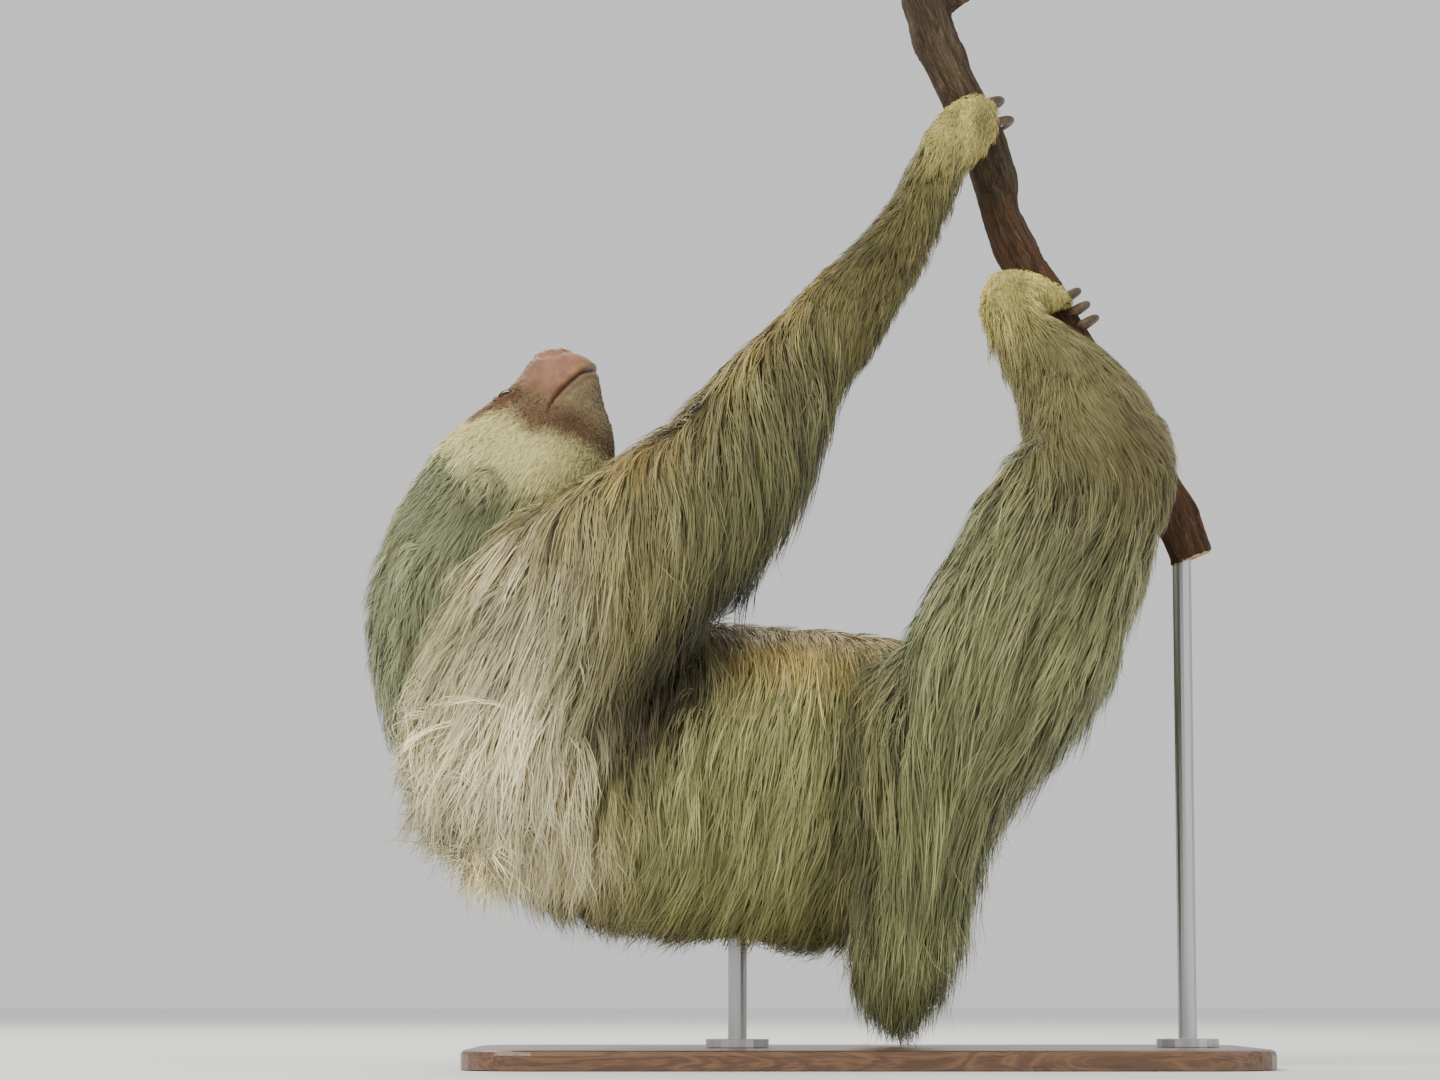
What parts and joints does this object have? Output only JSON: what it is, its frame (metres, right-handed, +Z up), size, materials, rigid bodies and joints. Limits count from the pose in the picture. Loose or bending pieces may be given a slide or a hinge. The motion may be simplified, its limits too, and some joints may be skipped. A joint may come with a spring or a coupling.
{
  "type": "two-toed sloth",
  "caption": "Life-size two-toed sloth lying back with one arm and both feet hooked round a sloping cut branch, on a flat display base with short rods.",
  "frame": {"origin": "middle of the overall bounding box, at floor level under the display base", "axes": "+Z up, +X from the animal's head towards its feet, +Y towards the animal's left side"},
  "size_m": [0.5684, 0.2782, 0.702],
  "materials": {
    "cream_fur": "short pale golden cream coat",
    "tan_fur": "long coarse tan and straw coat",
    "straw_fur": "long pale straw coat",
    "bare_skin": "moist bare skin",
    "horn": "smooth dark horn",
    "eye": "wet dark eye",
    "bark": "rough bark",
    "stand_wood": "satin dark stained wood",
    "stand_steel": "brushed"
  },
  "bodies": {
    "root": {"belly": "straw_fur", "chest": "straw_fur", "claw_foot_left_1": "horn", "claw_foot_left_2": "horn", "claw_foot_left_3": "horn", "claw_foot_right_1": "horn", "claw_foot_right_2": "horn", "claw_foot_right_3": "horn", "claw_hand_left_1": "horn", "claw_hand_left_2": "horn", "claw_hand_right_1": "horn", "claw_hand_right_2": "horn", "ear_left": "cream_fur", "ear_right": "cream_fur", "eye_left": "eye", "eye_right": "eye", "foot_left": "cream_fur", "foot_right": "cream_fur", "forearm_left": "tan_fur", "forearm_right": "tan_fur", "hand_left": "cream_fur", "hand_right": "cream_fur", "haunch_left": "tan_fur", "haunch_right": "tan_fur", "head": "cream_fur", "lower_jaw": "tan_fur", "neck": "straw_fur", "nose": "bare_skin", "perch_branch": "bark", "rump": "straw_fur", "shank_left": "tan_fur", "shank_right": "tan_fur", "shoulder_left": "tan_fur", "shoulder_right": "tan_fur", "stand_base": "stand_wood", "stand_flange_body": "stand_steel", "stand_flange_perch": "stand_steel", "stand_rod_body": "stand_steel", "stand_rod_perch": "stand_steel", "thigh_left": "tan_fur", "thigh_right": "tan_fur", "upper_arm_left": "tan_fur", "upper_arm_right": "tan_fur"}
  },
  "joints": []
}
